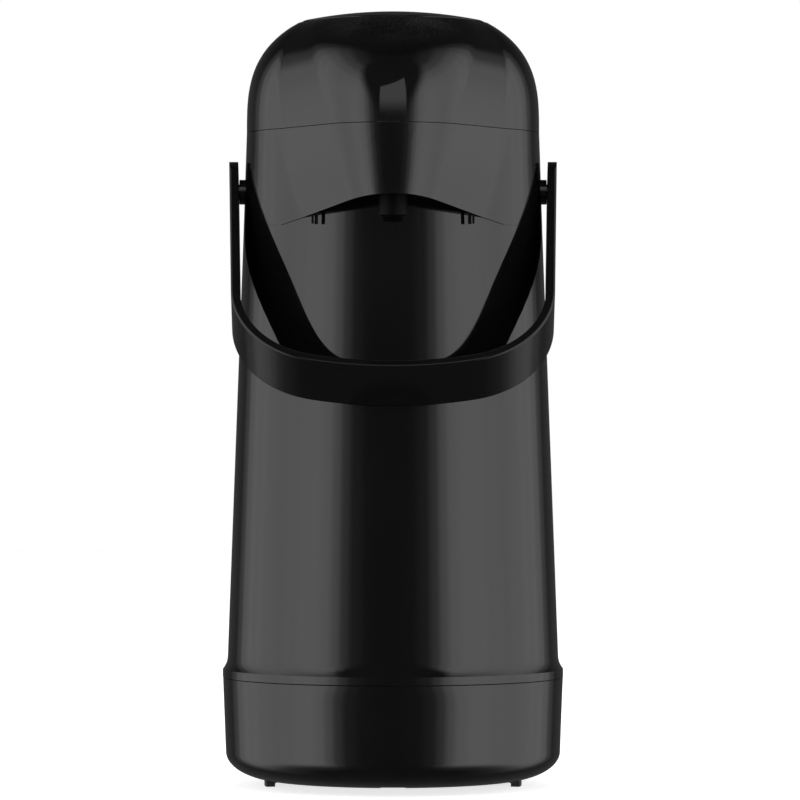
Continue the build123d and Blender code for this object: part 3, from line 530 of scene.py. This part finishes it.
def side_light_strength(tree, turn, up, start_z):
    round_turn = maths(tree, "ABSOLUTE", turn)
    near_front = ramp(tree, round_turn, *SIDE_LIGHT_ASIDE_FADE)
    aside = times(tree, near_front, SIDE_LIGHT_ASIDE)
    from_middle = maths(tree, "ABSOLUTE", maths(tree, "ADD", turn, aside))
    in_cup = ramp(tree, start_z, BASE_RIM + SIDE_LIGHT_CUP_OVER, BASE_RIM - SIDE_LIGHT_CUP_UNDER)
    cup_aside = times(tree, in_cup, SIDE_LIGHT_CUP_ASIDE, near_front)
    from_middle = maths(tree, "SUBTRACT", from_middle, cup_aside)
    side = strength_curve(tree, from_middle, SIDE_LIGHT, SIDE_LIGHT_FULL)
    beyond = maths(tree, "SUBTRACT", from_middle, times(tree, up, SIDE_LIGHT_SPREAD))
    inside = ramp(tree, beyond, 0.0, SIDE_LIGHT_EDGE)
    reach = times(tree, ramp(tree, round_turn, *SIDE_LIGHT_LOW_REACH_FADE), SIDE_LIGHT_LOW_REACH)
    below_level = maths(tree, "MINIMUM", maths(tree, "ADD", up, reach), 0.0)
    from_below = maths(tree, "ADD", maths(tree, "MAXIMUM", up, below_level), HALF_TURN / 2)
    height = strength_curve(tree, from_below, SIDE_LIGHT_HEIGHT, 1.0)
    return times(tree, side, inside, height)


def front_light_strength(tree, turn, up, start_z):
    top_edge = maths(tree, "MULTIPLY_ADD", turn, FRONT_LIGHT_SLANT, FRONT_LIGHT_TOP)
    under = ramp(tree, maths(tree, "SUBTRACT", top_edge, up), 0.0, FRONT_LIGHT_EDGE)
    round_turn = maths(tree, "ABSOLUTE", turn)
    within = ramp(tree, round_turn, FRONT_LIGHT_HALF, FRONT_LIGHT_HALF - FRONT_LIGHT_EDGE)
    above = ramp(tree, up, *FRONT_LIGHT_FADE)
    flagged = ramp(tree, start_z, *FRONT_LIGHT_FLAG)
    return times(tree, under, within, above, flagged, FRONT_LIGHT_STRENGTH)


def dark_strength(tree, turn, up):
    round_turn = maths(tree, "ABSOLUTE", turn)
    behind = times(tree, ramp(tree, round_turn, *TENT_BACK_ROUND), ramp(tree, up, *TENT_BACK_UP))
    overhead = times(tree, ramp(tree, up, *TENT_TOP_UP), TENT_TOP_SHARE)
    darker = maths(tree, "MAXIMUM", behind, overhead)
    return maths(tree, "MULTIPLY_ADD", darker, TENT_BACK_DARK - TENT_DARK, TENT_DARK)


def tent_material():
    material, tree, glow = new_material("light_tent", "ShaderNodeEmission")
    turn, up, start_z = tent_directions(tree)
    sides = side_light_strength(tree, turn, up, start_z)
    front = front_light_strength(tree, turn, up, start_z)
    lights = maths(tree, "ADD", front, sides)
    join(tree, glow.inputs["Strength"], maths(tree, "ADD", lights, dark_strength(tree, turn, up)))
    return material


def make_light_tent():
    # bright at the sides, dark in front, above and behind
    points = [(0.0, 0.0, TENT_CENTRE - TENT_RADIUS), (0.0, 0.0, TENT_CENTRE + TENT_RADIUS)]
    faces = []
    for ring in range(1, TENT_RINGS):
        tilt = pi * ring / TENT_RINGS - pi / 2
        for step in range(TENT_STEPS):
            turn = 2 * pi * step / TENT_STEPS
            reach = TENT_RADIUS * cos(tilt)
            points.append((reach * sin(turn), reach * cos(turn), TENT_CENTRE + TENT_RADIUS * sin(tilt)))
    last = 2 + (TENT_RINGS - 2) * TENT_STEPS
    for step in range(TENT_STEPS):
        after = (step + 1) % TENT_STEPS
        faces.append((0, 2 + step, 2 + after))
        faces.append((1, last + after, last + step))
        for ring in range(TENT_RINGS - 2):
            low = 2 + ring * TENT_STEPS
            faces.append((low + step, low + TENT_STEPS + step, low + TENT_STEPS + after, low + after))
    tent = link_piece("light_tent", points, faces)
    tent.data.materials.append(tent_material())
    tent.visible_camera = False
    tent.visible_shadow = False


def make_top_light():
    # lights faces that look up, and isn't mirrored in the gloss
    data = bpy.data.lights.new("top_light", "AREA")
    data.shape = "DISK"
    data.size = TOP_LIGHT_SIZE
    data.energy = TOP_LIGHT_POWER
    lamp = bpy.data.objects.new("top_light", data)
    lamp.location = (0.0, 0.0, TOP_LIGHT_HEIGHT)
    lamp.visible_glossy = False
    lamp.visible_camera = False
    bpy.context.scene.collection.objects.link(lamp)


# Sizes of the pieces made here, in metres. Those of the solids that they stand for or sit on come
# from the frame


def span_of(name, axis):
    # from where to where a CAD node reaches along an axis, to the micrometre
    node = frame["nodes"][name]
    corners = [node.matrix_world @ Vector(corner) for corner in node.bound_box]
    places = [corner["xyz".index(axis)] for corner in corners]
    return round(min(places), 6), round(max(places), 6)


def middle_of(name, axis):
    low, high = span_of(name, axis)
    return round((low + high) / 2, 6)


BELLOWS_LOW, BELLOWS_HIGH = span_of("bellows", "z")
BELLOWS_AXIS_Y = middle_of("bellows", "y")
BELLOWS_OUTER = span_of("bellows", "x")[1]
BELLOWS_INNER = 0.0245
BELLOWS_WALL = 0.0012
BELLOWS_FOLDS = 9
BELLOWS_FOLD_STEPS = 12
BELLOWS_FOLD_ROUND = 0.25
BELLOWS_TURN_STEPS = 96

PLATE_SKIRT_LOW, PLATE_TOP = span_of("press_plate", "z")
PLATE_INSET = 0.000001
PLATE_R = span_of("press_plate", "x")[1] - PLATE_INSET
PLATE_DOME_R = 0.170
PLATE_WALL = 0.0022
PLATE_SKIRT_WALL = 0.0016
PLATE_EDGE_R = 0.0006
PLATE_CHAMFER = 0.0003
PLATE_DISH_R = 0.0125
PLATE_DISH_DEPTH = 0.0007
PLATE_GROOVE_R = 0.0275
PLATE_GROOVE_HALF = 0.0007
PLATE_GROOVE_DEPTH = 0.0005
PLATE_DOME_STEPS = 60
PLATE_INSIDE_STEPS = 20
PLATE_TURN_STEPS = 128

LINER_LOW = span_of("lid_liner", "z")[0]
LINER_RIB_DROP = 0.0026
LINER_RIB_NEAR = 0.0375
LINER_RIB_FAR = 0.0500
LINER_RIB_HALF = 0.0007
LINER_RIB_TURNS = (30, 50, 70, 90, 110, 130, 150, 200, 220, 240, 300, 320, 340)

SIPHON_HUB_R = 0.019
SIPHON_HUB_LOW = 0.2290
SIPHON_HUB_HIGH = 0.2450
SIPHON_GRIPS = 24
SIPHON_GRIP_HALF = 0.0009
SIPHON_GRIP_SINK = 0.0003
SIPHON_GRIP_RISE = 0.0008
SIPHON_TUBE_TURNS = (240, 300)

BASE_BOTTOM, BASE_RIM = span_of("base_cup", "z")
BASE_RIB_DROP = 0.0007
BASE_RIB_NEAR = 0.012
BASE_RIB_FAR = 0.026
BASE_RIB_HALF = 0.0011
BASE_RIBS = 12
BASE_RING_R = 0.030
BASE_RING_FACE_HALF = 0.0006
BASE_RING_ROOT_HALF = 0.0012
BASE_RING_CHAMFER = 0.0002
BASE_RING_STEPS = 128

HINGE_HALF = span_of("hinge_pin", "x")[1]
HINGE_Y = middle_of("hinge_pin", "y")
HINGE_Z = middle_of("hinge_pin", "z")
HINGE_CAP_R = 0.0022
HINGE_CAP_RISE = 0.0009
HINGE_CAP_RIM_SHARE = 0.3
HINGE_CAP_STEPS = 40

# Shared by small pieces: the share of a bar's width left at its lower face, how far ribs sink into
# what carries them, the rounding of bars, steps to a quarter turn, and the angles of real creases
BAR_SLIM = 0.7
RIB_SINK = 0.0002
BAR_ROUNDING = 0.0003
BASE_RIB_ROUNDING = 0.0002
ROUND_STEPS = 6
LATHE_CREASE = 35
BAR_CREASE = 50


def lathe(name, outline, centre, turns, closed=True, axis="Z"):
    # turns an outline of (radius, height) points round an upright or a sideways axis
    points = []
    faces = []
    count = len(outline)
    for step in range(turns):
        angle = 2 * pi * step / turns
        for radius, along in outline:
            across, forward = radius * cos(angle), radius * sin(angle)
            offset = (across, forward, along) if axis == "Z" else (along, across, forward)
            points.append(tuple(base + part for base, part in zip(centre, offset)))
    for step in range(turns):
        low = step * count
        high = (step + 1) % turns * count
        for index in range(count if closed else count - 1):
            up = (index + 1) % count
            faces.append((low + index, high + index, high + up, low + up))
    piece = link_piece(name, points, faces)
    clean_mesh(piece, LATHE_CREASE)
    return piece


def clean_mesh(piece, crease_degrees):
    # welds the points on the axis, turns the faces outwards and keeps only real creases sharp
    work = bmesh.new()
    work.from_mesh(piece.data)
    bmesh.ops.remove_doubles(work, verts=work.verts, dist=0.000002)
    bmesh.ops.dissolve_degenerate(work, edges=work.edges, dist=0.000001)
    bmesh.ops.recalc_face_normals(work, faces=work.faces)
    work.to_mesh(piece.data)
    work.free()
    piece.data.shade_smooth()
    piece.data.set_sharp_from_angle(angle=radians(crease_degrees))


def radial_bar(turn, near, far, half_width, low, high):
    # the eight corners of a bar that points away from the axis, slimmer at its lower face
    outward = (cos(radians(turn)), sin(radians(turn)))
    sideways = (-outward[1], outward[0])
    corners = []
    for z, width in ((low, BAR_SLIM * half_width), (high, half_width)):
        for reach, side in ((near, -1), (far, -1), (far, 1), (near, 1)):
            x = outward[0] * reach + sideways[0] * side * width
            y = outward[1] * reach + sideways[1] * side * width
            corners.append((x, y, z))
    return corners


def bars_piece(name, bars, rounding):
    # many small bars in one piece, with rounded edges
    work = bmesh.new()
    for corners in bars:
        spots = [work.verts.new(corner) for corner in corners]
        for face in ((0, 3, 2, 1), (4, 5, 6, 7), (0, 1, 5, 4), (1, 2, 6, 5), (2, 3, 7, 6), (3, 0, 4, 7)):
            work.faces.new([spots[index] for index in face])
    bmesh.ops.recalc_face_normals(work, faces=work.faces)
    bmesh.ops.bevel(work, geom=work.edges, offset=rounding, segments=3, affect="EDGES", profile=0.5)
    piece = link_piece(name, [], [])
    work.to_mesh(piece.data)
    work.free()
    clean_mesh(piece, BAR_CREASE)
    return piece


def dress(piece, body, slot):
    # gives a piece its finish and the body that it moves with
    piece.data.materials.append(FINISHES[slot])
    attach(piece, body)


def bellows_outline():
    # the folds from the bottom up outside, then down again inside the wall
    steps = BELLOWS_FOLDS * BELLOWS_FOLD_STEPS
    middle = (BELLOWS_OUTER + BELLOWS_INNER) / 2
    swing = (BELLOWS_OUTER - BELLOWS_INNER) / 2
    outer = []
    for step in range(steps + 1):
        share = step / steps
        wave = -cos(2 * pi * BELLOWS_FOLDS * share)
        rounded = wave * (1 + BELLOWS_FOLD_ROUND - BELLOWS_FOLD_ROUND * wave * wave)
        outer.append((middle + swing * rounded, BELLOWS_LOW + (BELLOWS_HIGH - BELLOWS_LOW) * share))
    inner = [(radius - BELLOWS_WALL, z) for radius, z in reversed(outer)]
    return outer + inner


def make_bellows_sleeve():
    centre = (0.0, BELLOWS_AXIS_Y, 0.0)
    sleeve = lathe("bellows_sleeve", bellows_outline(), centre, BELLOWS_TURN_STEPS)
    dress(sleeve, "lid", "seal_rubber")
    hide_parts("bellows")
    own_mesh(sleeve)


def plate_height(radius):
    # the dome, with a shallow dish for the finger and one groove near the edge
    dome = PLATE_TOP - PLATE_DOME_R + sqrt(PLATE_DOME_R**2 - radius**2)
    dish = max(0.0, 1.0 - (radius / PLATE_DISH_R) ** 2) ** 2
    groove = max(0.0, 1.0 - ((radius - PLATE_GROOVE_R) / PLATE_GROOVE_HALF) ** 2) ** 2
    return dome - PLATE_DISH_DEPTH * dish - PLATE_GROOVE_DEPTH * groove


def plate_outline():
    # from the middle over the edge, down the skirt, and back inside to the middle
    flat_r = PLATE_R - PLATE_EDGE_R
    radii = [flat_r * step / PLATE_DOME_STEPS for step in range(PLATE_DOME_STEPS + 1)]
    for step in range(-ROUND_STEPS, ROUND_STEPS + 1):
        radii.append(PLATE_GROOVE_R + PLATE_GROOVE_HALF * step / ROUND_STEPS)
    outline = [(radius, plate_height(radius)) for radius in sorted(set(radii))]
    edge_z = plate_height(flat_r) - PLATE_EDGE_R
    for step in range(1, ROUND_STEPS + 1):
        turn = pi / 2 * step / ROUND_STEPS
        outline.append((flat_r + PLATE_EDGE_R * sin(turn), edge_z + PLATE_EDGE_R * cos(turn)))
    skirt_in = PLATE_R - PLATE_SKIRT_WALL
    chamfer_z = PLATE_SKIRT_LOW + PLATE_CHAMFER
    outline += [(PLATE_R, chamfer_z), (PLATE_R - PLATE_CHAMFER, PLATE_SKIRT_LOW)]
    outline += [(skirt_in + PLATE_CHAMFER, PLATE_SKIRT_LOW), (skirt_in, chamfer_z)]
    inner_dome = PLATE_DOME_R - PLATE_WALL
    for step in range(PLATE_INSIDE_STEPS + 1):
        radius = skirt_in * (1 - step / PLATE_INSIDE_STEPS)
        outline.append((radius, PLATE_TOP - PLATE_DOME_R + sqrt(inner_dome**2 - radius**2)))
    return outline


def make_press_cap():
    centre = (0.0, BELLOWS_AXIS_Y, 0.0)
    cap = lathe("press_cap", plate_outline(), centre, PLATE_TURN_STEPS, closed=False)
    dress(cap, "plate", "plate_black")
    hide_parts("press_plate")


def make_liner_ribs():
    low = LINER_LOW - LINER_RIB_DROP
    high = LINER_LOW + RIB_SINK
    bars = []
    for turn in LINER_RIB_TURNS:
        bars.append(radial_bar(turn, LINER_RIB_NEAR, LINER_RIB_FAR, LINER_RIB_HALF, low, high))
    dress(bars_piece("liner_ribs", bars, BAR_ROUNDING), "lid", "inner_white")


def make_siphon_grips():
    # finger ribs round the siphon's hub, none where the spout tube leaves it
    near = SIPHON_HUB_R - SIPHON_GRIP_SINK
    far = SIPHON_HUB_R + SIPHON_GRIP_RISE
    first_bare, last_bare = SIPHON_TUBE_TURNS
    bars = []
    for step in range(SIPHON_GRIPS):
        turn = 360 * step / SIPHON_GRIPS
        if not first_bare < turn < last_bare:
            bars.append(radial_bar(turn, near, far, SIPHON_GRIP_HALF, SIPHON_HUB_LOW, SIPHON_HUB_HIGH))
    dress(bars_piece("siphon_grips", bars, BAR_ROUNDING), "vessel", "siphon_grey")


def make_base_marks():
    # under the cup: a raised ring and short ribs to turn it by
    low = BASE_BOTTOM - BASE_RIB_DROP
    top = BASE_BOTTOM + RIB_SINK
    middle_half = (BASE_RING_FACE_HALF + BASE_RING_ROOT_HALF) / 2
    steps = [(BASE_RING_ROOT_HALF, top), (middle_half, low + BASE_RING_CHAMFER), (BASE_RING_FACE_HALF, low)]
    outline = [(BASE_RING_R - half, z) for half, z in steps]
    outline += [(BASE_RING_R + half, z) for half, z in reversed(steps)]
    ring = lathe("base_ring_mark", outline, (0.0, 0.0, 0.0), BASE_RING_STEPS)
    dress(ring, "vessel", "base_black")
    bars = []
    for step in range(BASE_RIBS):
        turn = 360 * (step + 0.5) / BASE_RIBS
        bars.append(radial_bar(turn, BASE_RIB_NEAR, BASE_RIB_FAR, BASE_RIB_HALF, low, top))
    dress(bars_piece("base_turning_ribs", bars, BASE_RIB_ROUNDING), "vessel", "base_black")


def make_hinge_caps():
    # domed caps over the ends of the hinge pin
    for name, side in (("hinge_cap_right", 1), ("hinge_cap_left", -1)):
        outline = [(HINGE_CAP_R, 0.0), (HINGE_CAP_R, side * HINGE_CAP_RIM_SHARE * HINGE_CAP_RISE)]
        for step in range(1, ROUND_STEPS + 1):
            turn = pi / 2 * step / ROUND_STEPS
            rise = HINGE_CAP_RISE * (HINGE_CAP_RIM_SHARE + (1 - HINGE_CAP_RIM_SHARE) * sin(turn))
            outline.append((HINGE_CAP_R * cos(turn), side * rise))
        outline.append((0.0, 0.0))
        cap = lathe(name, outline, (side * HINGE_HALF, HINGE_Y, HINGE_Z), HINGE_CAP_STEPS, axis="X")
        dress(cap, "vessel", "head_black")


make_camera()
make_world()
make_floor()
make_light_tent()
make_top_light()

for entry in frame["record"]["subparts"]:
    node = frame["nodes"][entry["node"]]
    for slot in node.material_slots:
        slot.material = FINISHES[entry["material_slot"]]

make_bellows_sleeve()
make_press_cap()
make_liner_ribs()
make_siphon_grips()
make_base_marks()
make_hinge_caps()
